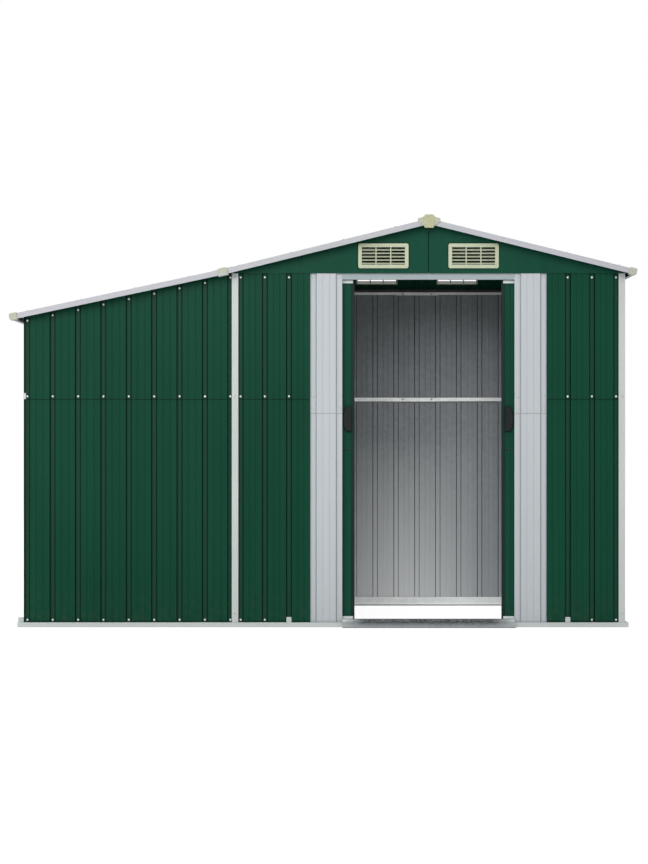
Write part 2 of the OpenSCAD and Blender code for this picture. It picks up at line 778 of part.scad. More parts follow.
module leaf_handle() {
    w = 35;
    h = 106;
    depth = 16;
    wall = 3;
    bow = 13;
    bow_r = (h * h / 4 + bow * bow) / 2 / bow;
    x = leaf_lead_x - stile_w - seam_gap - w;
    translate([x, panel_y, handle_z]) rotate([90, 0, 0]) difference() {
        linear_extrude(depth) bowed(w, h, bow_r, 0);
        translate([0, 0, wall]) linear_extrude(depth - 2 * wall) bowed(w, h, bow_r, wall);
    }
}
module leaf_hangers() {
    block_l = 40;
    block_h = 10;
    block_d = leaf_d + 2;
    tongue_d = 3;
    block_z = track_z + rail_t + seat_gap;
    for (x = [leaf_trail_x + stile_w + block_l, leaf_lead_x - stile_w - 2 * block_l]) {
        translate([x, track_mid - tongue_d / 2, leaf_top_z])
            cube([block_l, tongue_d, block_z + block_h - leaf_top_z]);
        translate([x, track_mid - block_d / 2, block_z]) cube([block_l, block_d, block_h]);
    }
}
module left_door_panels() { color(GREEN) at_front() leaf_panels(); }
module left_door_rails() { color(WHITE) at_front() leaf_rails(); }
module left_door_stiles() { color(DARK) at_front() leaf_stiles(); }
module left_door_handle() { color(DARK) at_front() leaf_handle(); }
module left_door_hangers() { color(DARK) at_front() leaf_hangers(); }
module right_door_panels() { swap_sides() left_door_panels(); }
module right_door_rails() { swap_sides() left_door_rails(); }
module right_door_stiles() { swap_sides() left_door_stiles(); }
module right_door_handle() { swap_sides() left_door_handle(); }
module right_door_hangers() { swap_sides() left_door_hangers(); }

base_rail_front();
base_rail_back();
base_rails_side();
door_sill();
door_floor_track();
corner_posts_front();
corner_posts_back();
leanto_posts();
leanto_front_lower();
leanto_front_upper();
leanto_back_lower();
leanto_back_upper();
front_wall_lower();
front_wall_upper();
jamb_panels_lower();
jamb_panels_upper();
right_wall_lower();
right_wall_upper();
left_wall_lower();
left_wall_upper();
back_wall_lower();
back_wall_upper();
front_gable();
back_gable();
front_vents();
back_vents();
door_header();
back_top_rail();
side_top_rails();
leanto_top_rails();
front_mid_rails();
back_mid_rails();
side_mid_rails();
door_track();
roof_beams();
roof_right();
roof_left();
roof_leanto();
rake_trims();
eave_trims();
ridge_cap();
roof_joint_trim();
ridge_end_caps();
eave_end_caps();
left_door_panels();
left_door_rails();
left_door_stiles();
left_door_handle();
left_door_hangers();
right_door_panels();
right_door_rails();
right_door_stiles();
right_door_handle();
right_door_hangers();
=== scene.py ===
"""Dresses the metal storage shed: finishes, screws, small fittings, studio and camera."""

import logging
import math
from collections.abc import Sequence
from dataclasses import dataclass
from enum import Enum

import bmesh
import bpy
from mathutils import Matrix, Vector


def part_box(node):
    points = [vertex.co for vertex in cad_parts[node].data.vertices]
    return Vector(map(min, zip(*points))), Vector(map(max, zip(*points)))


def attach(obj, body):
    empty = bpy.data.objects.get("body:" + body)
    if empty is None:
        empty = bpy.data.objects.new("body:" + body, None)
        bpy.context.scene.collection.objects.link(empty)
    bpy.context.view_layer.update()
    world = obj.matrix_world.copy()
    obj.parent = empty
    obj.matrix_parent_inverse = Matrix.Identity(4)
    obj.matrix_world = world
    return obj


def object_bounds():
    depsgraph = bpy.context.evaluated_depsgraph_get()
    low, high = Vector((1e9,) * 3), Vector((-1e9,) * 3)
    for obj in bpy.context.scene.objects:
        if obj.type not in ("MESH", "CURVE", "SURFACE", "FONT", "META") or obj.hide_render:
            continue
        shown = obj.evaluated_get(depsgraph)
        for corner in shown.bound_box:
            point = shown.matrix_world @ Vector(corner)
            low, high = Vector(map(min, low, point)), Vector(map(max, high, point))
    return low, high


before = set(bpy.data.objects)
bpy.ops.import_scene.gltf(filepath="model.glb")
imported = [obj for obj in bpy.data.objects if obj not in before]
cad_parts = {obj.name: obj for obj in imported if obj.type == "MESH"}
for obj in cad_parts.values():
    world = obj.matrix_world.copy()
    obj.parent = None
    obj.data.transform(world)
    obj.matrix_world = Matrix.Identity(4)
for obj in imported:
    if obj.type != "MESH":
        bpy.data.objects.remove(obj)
CAD_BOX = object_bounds()
LOG = logging.getLogger("shed")

Colour = tuple[float, float, float]
Span = tuple[float, float]
Socket = bpy.types.NodeSocket
Source = Socket | float | Colour | Vector
Inputs = dict[str | int, Source]
Material = bpy.types.Material

PHOTO_HEIGHT_PX = 864
SHED = "shed"
LEFT_DOOR = "left_door"
RIGHT_DOOR = "right_door"
WHITE_SLOT = "white_paint"
ZINC_SLOT = "zinc"
RIGHTWARD = Vector((1.0, 0.0, 0.0))
REARWARD = Vector((0.0, 1.0, 0.0))
UPWARD = Vector((0.0, 0.0, 1.0))
WHITE = (1.0, 1.0, 1.0)
GLOSS_OCTAVES = 3.0
# Height of a door leaf's seam above its lower edge, and X of the ridge and of the doorway's middle.
LEAF_SEAM_RISE = 0.744
SHED_MIDDLE = 0.467
# Samples for rounded edges and nooks, and the cosines at which an edge starts to wear and is worn.
EDGE_SAMPLES = 4
EDGE_BEND = (0.99, 0.85)
# Numbers of the colour sockets on Blender's Mix node.
MIX_FIRST, MIX_SECOND, MIX_RESULT = 6, 7, 2
# Cosine above which two directions count as one, and metres below which two heights do.
SAME_WAY = 0.999
TOUCHING = 1e-6


class Facing(Enum):
    """Outward direction of a sheet's painted face."""

    FRONT = (0.0, -1.0, 0.0)
    BACK = (0.0, 1.0, 0.0)
    LEFT = (-1.0, 0.0, 0.0)
    RIGHT = (1.0, 0.0, 0.0)
    SKY = (0.0, 0.0, 1.0)

    @property
    def outward(self) -> Vector:
        """The direction as a vector."""
        return Vector(self.value)

    @property
    def along(self) -> Vector:
        """The level direction along the sheet."""
        return RIGHTWARD if self in (Facing.FRONT, Facing.BACK) else REARWARD

    @property
    def word(self) -> str:
        """The direction as it stands in the names of pieces."""
        return self.name.lower()


class Sum(Enum):
    """The sums that materials do, by Blender's names."""

    ADD = "ADD"
    SUBTRACT = "SUBTRACT"
    MULTIPLY = "MULTIPLY"
    MAXIMUM = "MAXIMUM"
    ABSOLUTE = "ABSOLUTE"
    GREATER_THAN = "GREATER_THAN"


def linear(red: int, green: int, blue: int) -> Colour:
    """Turns a screen colour, from 0 to 255, into the linear colour that a shader takes."""
    shares = (channel / 255.0 for channel in (red, green, blue))
    return tuple(s / 12.92 if s <= 0.04045 else ((s + 0.055) / 1.055) ** 2.4 for s in shares)


@dataclass(frozen=True)
class Cloud:
    """Soft noise: its features to the metre, its octaves and the values that it runs between."""

    scale: float
    octaves: float
    low: float
    high: float
    start: float = 0.3
    end: float = 0.7
    stretch: Colour | None = None


class NodeGraph:
    """A node tree and short calls to add to it."""

    def __init__(self, owner: Material | bpy.types.World, output: str) -> None:
        """Empties the owner's node tree and adds its output.

        Args:
            owner: Material or world that has the tree.
            output: Blender's type of the output node.
        """
        owner.use_nodes = True
        self.tree = owner.node_tree
        self.tree.nodes.clear()
        self.output = self.add(output)

    def add(self, kind: str, inputs: Inputs | None = None, **settings: object) -> bpy.types.Node:
        """Adds a node.

        Args:
            kind: Blender's type of the node.
            inputs: What its inputs get, by name or number.
            settings: Properties of the node to set.

        Returns:
            The new node.
        """
        node = self.tree.nodes.new(kind)
        for key, value in settings.items():
            setattr(node, key, value)
        self.wire(node, inputs or {})
        return node

    def wire(self, node: bpy.types.Node, inputs: Inputs) -> None:
        """Links inputs of a node, or sets their values.

        Args:
            node: The node.
            inputs: Outputs to link or plain values, by the name or number of the input.
        """
        for key, source in inputs.items():
            target = node.inputs[key]
            if isinstance(source, Socket):
                self.tree.links.new(source, target)
            elif target.type == "RGBA":
                target.default_value = (*source, 1.0)
            else:
                target.default_value = source

    def reckon(self, kind: Sum, first: Socket | float, second: Socket | float = 0.0) -> Socket:
        """Does one sum."""
        return self.add("ShaderNodeMath", {0: first, 1: second}, operation=kind.value).outputs["Value"]

    def times(self, first: Socket, second: Socket | float) -> Socket:
        """Multiplies two values."""
        return self.reckon(Sum.MULTIPLY, first, second)

    def split(self, lit: Socket, seen: Socket) -> None:
        """Gives one shader to rays that carry light and another to rays that see the surface.

        Args:
            lit: Shader for light that bounces.
            seen: Shader for camera, glossy and transmitted rays.
        """
        path = self.add("ShaderNodeLightPath").outputs
        watched = self.reckon(Sum.MAXIMUM, path["Is Camera Ray"], path["Is Glossy Ray"])
        watched = self.reckon(Sum.MAXIMUM, watched, path["Is Transmission Ray"])
        mix = self.add("ShaderNodeMixShader", {"Fac": watched, 1: lit, 2: seen})
        self.wire(self.output, {"Surface": mix.outputs["Shader"]})


class ShaderGraph(NodeGraph):
    """A material with one Principled shader and short calls to add nodes to it."""

    def __init__(self, name: str) -> None:
        """Makes the material.

        Args:
            name: Name of the material.
        """
        self.material = bpy.data.materials.new(name)
        super().__init__(self.material, "ShaderNodeOutputMaterial")
        self.shader = self.add("ShaderNodeBsdfPrincipled")
        self.wire(self.output, {"Surface": self.shader.outputs["BSDF"]})
        self.place = self.add("ShaderNodeTexCoord").outputs["Object"]

    def noise(self, scale: float, octaves: float = 1.0, place: Socket | None = None) -> Socket:
        """Adds noise from 0 to 1, with about so many features to the metre."""
        inputs = {"Vector": place or self.place, "Scale": scale, "Detail": octaves}
        return self.add("ShaderNodeTexNoise", inputs).outputs["Fac"]

    def cloud(self, cloud: Cloud) -> Socket:
        """Adds soft noise.

        Args:
            cloud: The noise.

        Returns:
            Its value, held between its two ends.
        """
        place = self.place
        if cloud.stretch is not None:
            mapping = self.add("ShaderNodeMapping", {"Vector": place, "Scale": cloud.stretch})
            place = mapping.outputs["Vector"]
        noise = self.noise(cloud.scale, cloud.octaves, place)
        return self.remap(noise, cloud.start, cloud.end, cloud.low, cloud.high)

    def gloss(self, scale: float, roughness: float, spread: float) -> Socket:
        """Adds uneven roughness round a middle value."""
        return self.cloud(Cloud(scale, GLOSS_OCTAVES, roughness - spread, roughness + spread))

    def cells(self, scale: float) -> Socket:
        """Adds crystals, about so many to the metre, each with a random value from 0 to 1."""
        crystals = self.add("ShaderNodeTexVoronoi", {"Vector": self.place, "Scale": scale}, feature="F1")
        return self.add("ShaderNodeSeparateColor", {"Color": crystals.outputs["Color"]}).outputs["Red"]

    def remap(self, value: Socket, low: float, high: float, to_low: float, to_high: float) -> Socket:
        """Maps the range from low to high onto the one from to_low to to_high, held at its ends."""
        ends = {"Value": value, "From Min": low, "From Max": high, "To Min": to_low, "To Max": to_high}
        return self.add("ShaderNodeMapRange", ends, clamp=True).outputs["Result"]

    def ramp(self, value: Socket, span: Span, share: float = 1.0) -> Socket:
        """Rises from 0 at the start of a span to the share at its end."""
        return self.remap(value, *span, 0.0, share)

    def band(self, value: Socket, low: float, high: float, soft: float) -> Socket:
        """Gives 1 from low to high and 0 outside, with soft sides of the given width."""
        fall = self.remap(value, high, high + soft, 1.0, 0.0)
        return self.times(self.ramp(value, (low - soft, low)), fall)

    def blend(self, factor: Socket, first: Socket | Colour, second: Socket | Colour) -> Socket:
        """Blends two colours: a factor of 0 gives the first and 1 the second."""
        ends = {0: factor, MIX_FIRST: first, MIX_SECOND: second}
        return self.add("ShaderNodeMix", ends, data_type="RGBA").outputs[MIX_RESULT]

    def dot(self, first: Socket, second: Socket | Vector) -> Socket:
        """Gives the dot product of two vectors."""
        node = self.add("ShaderNodeVectorMath", {0: first, 1: second}, operation="DOT_PRODUCT")
        return node.outputs["Value"]

    def along(self, direction: Vector) -> Socket:
        """Measures a place along a direction, in metres from the origin."""
        return self.dot(self.place, direction)

    def lean(self, direction: Socket | Vector) -> Socket:
        """Gives 1 on a face that looks in a direction, 0 on one square to it and -1 on its opposite."""
        return self.dot(self.add("ShaderNodeNewGeometry").outputs["True Normal"], direction)

    def rounded(self, radius: float) -> Socket:
        """Makes a normal that rounds the edges."""
        return self.add("ShaderNodeBevel", {"Radius": radius}, samples=EDGE_SAMPLES).outputs["Normal"]

    def wear(self, normal: Socket) -> Socket:
        """Gives 1 along the edges that a rounded normal bends and 0 on flat faces."""
        return self.ramp(self.lean(normal), EDGE_BEND)

    def nook(self, reach: float, openness: Span) -> Socket:
        """Gives 0 in the open and 1 in folds and inner corners, by how much of the reach is free."""
        node = self.add("ShaderNodeAmbientOcclusion", {"Distance": reach}, samples=EDGE_SAMPLES)
        return self.ramp(node.outputs["AO"], openness)

    def bump(self, value: Socket, depth: float, normal: Socket | None = None) -> Socket:
        """Makes a normal with bumps so many metres deep, on another normal or the surface's own."""
        base = {} if normal is None else {"Normal": normal}
        return self.add("ShaderNodeBump", {"Distance": depth, "Height": value, **base}).outputs["Normal"]

    def finish(
        self, colour: Socket, roughness: Socket, normal: Socket, shine: float, metal: Socket | float = 0.0,
    ) -> Material:
        """Feeds the shader.

        Args:
            colour: Base colour.
            roughness: Roughness.
            normal: Bumped normal.
            shine: Specular level.
            metal: Share of bare metal.

        Returns:
            The finished material.
        """
        self.wire(self.shader, {
            "Base Color": colour, "Roughness": roughness, "Normal": normal, "Specular IOR Level": shine,
            "Metallic": metal,
        })
        return self.material


@dataclass(frozen=True)
class PaintedSheet:
    """Thin ribbed steel sheet, painted outside and bare zinc inside."""

    name: str
    facing: Facing
    seams: tuple[float, ...] = ()
    plane: float | None = None
    outside_lean: float = 0.05
    inside: Colour = linear(148, 153, 156)
    inside_dark: Colour = linear(140, 145, 148)
    inside_metal: float = 0.12
    # Painted shade on the bare face's fold flanks.
    inside_crease: Colour = linear(46, 50, 53)
    inside_fold_share: float = 0.75
    spangle_scale: float = 55.0
    # Painted light on the bare face, paler towards its foot.
    foot: Colour = linear(206, 210, 212)
    foot_span: Span = (0.85, 0.05)
    paint: Colour = linear(10, 59, 42)
    paint_light: Colour = linear(16, 69, 51)
    drift: Cloud = Cloud(1.4, 3.0, 0.0, 0.6)
    streak: Cloud = Cloud(1.0, 3.0, 0.0, 0.4, 0.35, 0.75, (26.0, 26.0, 0.7))
    dust: Colour = linear(52, 74, 58)
    dust_patch: Cloud = Cloud(38.0, 4.0, 0.0, 1.0, 0.42, 0.7)
    splash_span: Span = (0.02, 0.2)
    splash_share: float = 0.35
    groove_dust: Colour = linear(40, 68, 53)
    groove_span: Span = (0.005, 0.003)
    groove_share: float = 0.35
    # Colour of painted shade on the painted face: bead and fold flanks, nooks, and a line under each seam.
    crease: Colour = linear(2, 24, 14)
    bead_lean: Span = (0.08, 0.18)
    bead_share: float = 0.1
    fold_lean: Span = (0.3, 0.6)
    fold_share: float = 0.85
    # Painted shade in nooks and inner corners, from ambient occlusion.
    nook_reach: float = 0.011
    nook_open: Span = (0.95, 0.6)
    nook_share: float = 0.85
    shadow_line: float = 0.0035
    shadow_soft: float = 0.001
    shadow_share: float = 0.7
    gloss: Cloud = Cloud(3.0, 4.0, 0.36, 0.48)
    peel_scale: float = 420.0
    peel_depth: float = 0.0001
    shine: float = 0.06

    def make(self) -> Material:
        """Makes the two-sided material.

        Returns:
            The material.
        """
        graph = ShaderGraph(self.name)
        outside = graph.reckon(Sum.GREATER_THAN, graph.lean(self.facing.outward), self.outside_lean)
        aside = graph.reckon(Sum.ABSOLUTE, graph.lean(self.facing.along))
        colour = graph.blend(outside, self.bare(graph, aside), self.painted(graph, aside))
        metal = graph.remap(outside, 0.0, 1.0, self.inside_metal, 0.0) if self.inside_metal else 0.0
        normal = graph.bump(graph.noise(self.peel_scale), self.peel_depth)
        return graph.finish(colour, graph.cloud(self.gloss), normal, self.shine, metal)

    def bare(self, graph: ShaderGraph, aside: Socket) -> Socket:
        """Colours the bare face, with painted light towards the foot and painted shade in its folds.

        Args:
            graph: Graph of the material.
            aside: How far a face leans along the wall.

        Returns:
            The colour.
        """
        colour = graph.blend(graph.cells(self.spangle_scale), self.inside, self.inside_dark)
        # Painted light, paler towards the foot.
        low = graph.ramp(graph.along(UPWARD), self.foot_span)
        colour = graph.blend(low, colour, self.foot_colour(graph))
        # Painted shade on the flanks of the folds.
        folded = graph.ramp(aside, self.fold_lean, self.inside_fold_share)
        return graph.blend(folded, colour, self.inside_crease)

    def foot_colour(self, graph: ShaderGraph) -> Socket | Colour:
        """Gives the painted light at the bare face's foot one colour all along."""
        return self.foot

    def painted(self, graph: ShaderGraph, aside: Socket) -> Socket:
        """Colours the painted face: dust at its foot and in its grooves, painted shade in its folds, nooks
        and seams.

        Args:
            graph: Graph of the material.
            aside: How far a face leans along the wall.

        Returns:
            The colour.
        """
        mottle = graph.reckon(Sum.ADD, graph.cloud(self.drift), graph.cloud(self.streak))
        colour = graph.blend(mottle, self.paint, self.paint_light)
        splash = graph.remap(graph.along(UPWARD), *self.splash_span, self.splash_share, 0.0)
        colour = graph.blend(graph.times(splash, graph.cloud(self.dust_patch)), colour, self.dust)
        if self.plane is not None:
            deep, shallow = (self.plane - drop for drop in self.groove_span)
            sunk = graph.remap(graph.along(self.facing.outward), deep, shallow, self.groove_share, 0.0)
            colour = graph.blend(sunk, colour, self.groove_dust)
        # Painted shade: bead and fold flanks, nooks, then a line under each seam.
        shades = [
            graph.ramp(aside, self.bead_lean, self.bead_share),
            graph.ramp(aside, self.fold_lean, self.fold_share),
            graph.times(graph.nook(self.nook_reach, self.nook_open), self.nook_share),
        ]
        for seam in self.seams:
            line = graph.band(graph.along(UPWARD), seam - self.shadow_line, seam, self.shadow_soft)
            shades.append(graph.times(line, self.shadow_share))
        for shade in shades:
            colour = graph.blend(shade, colour, self.crease)
        return colour


@dataclass(frozen=True)
class LitSheet(PaintedSheet):
    """Sheet of the back wall, whose bare foot has painted light, palest behind the doorway."""

    # Painted light: its brightest colour, its colour right of the doorway, and the span between them.
    foot: Colour = linear(234, 237, 237)
    foot_far: Colour = linear(168, 173, 176)
    foot_fade: Span = (0.4, 0.8)

    def foot_colour(self, graph: ShaderGraph) -> Socket | Colour:
        """Fades the foot's painted light to a duller colour right of the doorway."""
        return graph.blend(graph.ramp(graph.along(RIGHTWARD), self.foot_fade), self.foot, self.foot_far)


@dataclass(frozen=True)
class CoatedSteel:
    """Folded steel with a smooth factory coat."""

    name: str
    coat: Colour
    coat_shade: Colour
    roughness: float = 0.45
    roughness_spread: float = 0.05
    gloss_scale: float = 4.0
    shine: float = 0.25
    edge_radius: float = 0.0008
    drift: Cloud = Cloud(2.2, 4.0, 0.0, 0.7)
    # Scuffs in small dark spots.
    scuff: Cloud = Cloud(60.0, 5.0, 0.0, 0.5, 0.62, 0.8)
    rub_share: float = 0.6
    peel_scale: float = 380.0
    peel_depth: float = 0.0001

    def make(self) -> Material:
        """Makes the material, with scuffs in places and rubbed along its edges.

        Returns:
            The material.
        """
        graph = ShaderGraph(self.name)
        edge = graph.rounded(self.edge_radius)
        scuffed = graph.reckon(Sum.ADD, graph.cloud(self.drift), graph.cloud(self.scuff))
        shade = graph.reckon(Sum.MAXIMUM, scuffed, graph.times(graph.wear(edge), self.rub_share))
        colour = graph.blend(shade, self.coat, self.coat_shade)
        gloss = graph.gloss(self.gloss_scale, self.roughness, self.roughness_spread)
        normal = graph.bump(graph.noise(self.peel_scale), self.peel_depth, edge)
        return graph.finish(colour, gloss, normal, self.shine)


@dataclass(frozen=True)
class SpangledZinc:
    """Bare hot-dipped steel with its crystal pattern."""

    name: str
    bright: Colour = linear(160, 165, 168)
    dull: Colour = linear(112, 118, 122)
    spangle_scale: float = 75.0
    spangle_depth: float = 0.00008
    spangle_cloud: Cloud = Cloud(6.0, 4.0, 0.4, 1.0)
    metal: float = 0.35
    shine: float = 0.3
    gloss: Span = (0.4, 0.55)
    # Painted shade in the zinc's nooks and inner corners.
    grime: Colour = linear(48, 50, 50)
    grime_reach: float = 0.03
    grime_open: Span = (0.9, 0.45)
    grime_share: float = 0.8

    def make(self) -> Material:
        """Makes the material, with painted shade in its nooks.

        Returns:
            The material.
        """
        graph = ShaderGraph(self.name)
        spangle = graph.cells(self.spangle_scale)
        dulled = graph.times(spangle, graph.cloud(self.spangle_cloud))
        colour = self.toned(graph, graph.blend(dulled, self.bright, self.dull))
        # Painted shade where the nook is shut in.
        shaded_nooks = graph.times(graph.nook(self.grime_reach, self.grime_open), self.grime_share)
        colour = graph.blend(shaded_nooks, colour, self.grime)
        gloss = graph.remap(spangle, 0.0, 1.0, *self.gloss)
        return graph.finish(colour, gloss, graph.bump(spangle, self.spangle_depth), self.shine, self.metal)

    def toned(self, graph: ShaderGraph, colour: Socket) -> Socket:
        """Leaves plain zinc as it is."""
        return colour


@dataclass(frozen=True)
class TroddenZinc(SpangledZinc):
    """Zinc of the door sill, with a painted shadow on its upper face between the door jambs, and darker
    along its lower edge.
    """

    # Painted shadow on the sill's upper face between the door jambs.
    scuffed: Colour = linear(34, 38, 40)
    scuff_rise: Span = (0.001, 0.024)
    scuff_half: float = 0.285
    scuff_fade: float = 0.09
    scuff_grain: Cloud = Cloud(130.0, 3.0, 0.7, 1.0, 0.35, 0.65)
    edge: Colour = linear(64, 68, 69)
    edge_span: Span = (0.0035, 0.004)

    def toned(self, graph: ShaderGraph, colour: Socket) -> Socket:
        """Paints a shadow on the sill between the door jambs, deeper upwards.

        Args:
            graph: Graph of the material.
            colour: Colour of the zinc.

        Returns:
            The colour with the painted shadow.
        """
        rise = graph.ramp(graph.along(UPWARD), self.scuff_rise)
        ends = (SHED_MIDDLE - self.scuff_half, SHED_MIDDLE + self.scuff_half)
        span = graph.band(graph.along(RIGHTWARD), *ends, self.scuff_fade)
        scuff = graph.times(graph.times(rise, span), graph.cloud(self.scuff_grain))
        shadowed = graph.blend(scuff, colour, self.scuffed)
        return graph.blend(graph.remap(graph.along(UPWARD), *self.edge_span, 1.0, 0.0), shadowed, self.edge)


@dataclass(frozen=True)
class TonedZinc(SpangledZinc):
    """Zinc of a level rail with a band of painted shade or painted light along its upper or lower edge, by
    height above a base.
    """

    base: float = 0.0
    # By default, painted shade on the back top rail above 1.558 m.
    tone: Colour = linear(40, 40, 38)
    tone_from: float = 1.558
    tone_full: float = 1.562
    tone_share: float = 0.85

    def toned(self, graph: ShaderGraph, colour: Socket) -> Socket:
        """Paints the band of shade or light along the edge."""
        span = (self.base + self.tone_from, self.base + self.tone_full)
        return graph.blend(graph.ramp(graph.along(UPWARD), span, self.tone_share), colour, self.tone)


@dataclass(frozen=True)
class MouldedPlastic:
    """Injection-moulded plastic with a fine sparked grain."""

    name: str
    tint: Colour
    tint_shade: Colour
    roughness: float = 0.5
    roughness_spread: float = 0.06
    gloss_scale: float = 14.0
    shine: float = 0.25
    edge_radius: float = 0.0015
    drift: Cloud = Cloud(9.0, 3.0, 0.0, 1.0)
    grain_scale: float = 900.0
    grain_depth: float = 0.00006

    def make(self) -> Material:
        """Makes the material, dulled in places and along its edges.

        Returns:
            The material.
        """
        graph = ShaderGraph(self.name)
        edge = graph.rounded(self.edge_radius)
        shade = graph.reckon(Sum.MAXIMUM, graph.cloud(self.drift), graph.wear(edge))
        colour = self.toned(graph, graph.blend(shade, self.tint, self.tint_shade))
        gloss = graph.gloss(self.gloss_scale, self.roughness, self.roughness_spread)
        normal = graph.bump(graph.noise(self.grain_scale), self.grain_depth, edge)
        return graph.finish(colour, gloss, normal, self.shine)

    def toned(self, graph: ShaderGraph, colour: Socket) -> Socket:
        """Leaves plain plastic as it is."""
        return colour


@dataclass(frozen=True)
class FadedPlastic(MouldedPlastic):
    """Plastic of the ridge end caps, with painted shade greying their wings."""

    wing: Colour = linear(178, 180, 168)
    wing_span: Span = (0.014, 0.042)

    def toned(self, graph: ShaderGraph, colour: Socket) -> Socket:
        """Paints shade on the wings, fuller away from the middle."""
        away = graph.reckon(Sum.ABSOLUTE, graph.reckon(Sum.SUBTRACT, graph.along(RIGHTWARD), SHED_MIDDLE))
        return graph.blend(graph.ramp(away, self.wing_span), colour, self.wing)


@dataclass(frozen=True)
class TuckedPlastic(MouldedPlastic):
    """Plastic of the eave end caps; the cap at the lean-to joint has the trim's tone in its lower half."""

    joint_span: Span = (-0.475, -0.405)
    joint_soft: float = 0.002
    tuck_span: Span = (1.564, 1.558)
    trim: Colour = linear(182, 183, 188)

    def toned(self, graph: ShaderGraph, colour: Socket) -> Socket:
        """Tones the lower half of the joint's cap.

        Args:
            graph: Graph of the material.
            colour: Colour of the plastic.

        Returns:
            The toned colour.
        """
        near = graph.band(graph.along(RIGHTWARD), *self.joint_span, self.joint_soft)
        low = graph.ramp(graph.along(UPWARD), self.tuck_span)
        return graph.blend(graph.times(near, low), colour, self.trim)


def outer_plane(node: str, facing: Facing) -> float:
    """Measures how far a CAD piece reaches from the origin in the direction that a wall faces."""
    low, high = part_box(node)
    return max(facing.outward.dot(Vector(low)), facing.outward.dot(Vector(high)))


@dataclass(frozen=True)
class Coat:
    """A material for new pieces and the slot of the record that it stands for."""

    material: Material
    slot: str


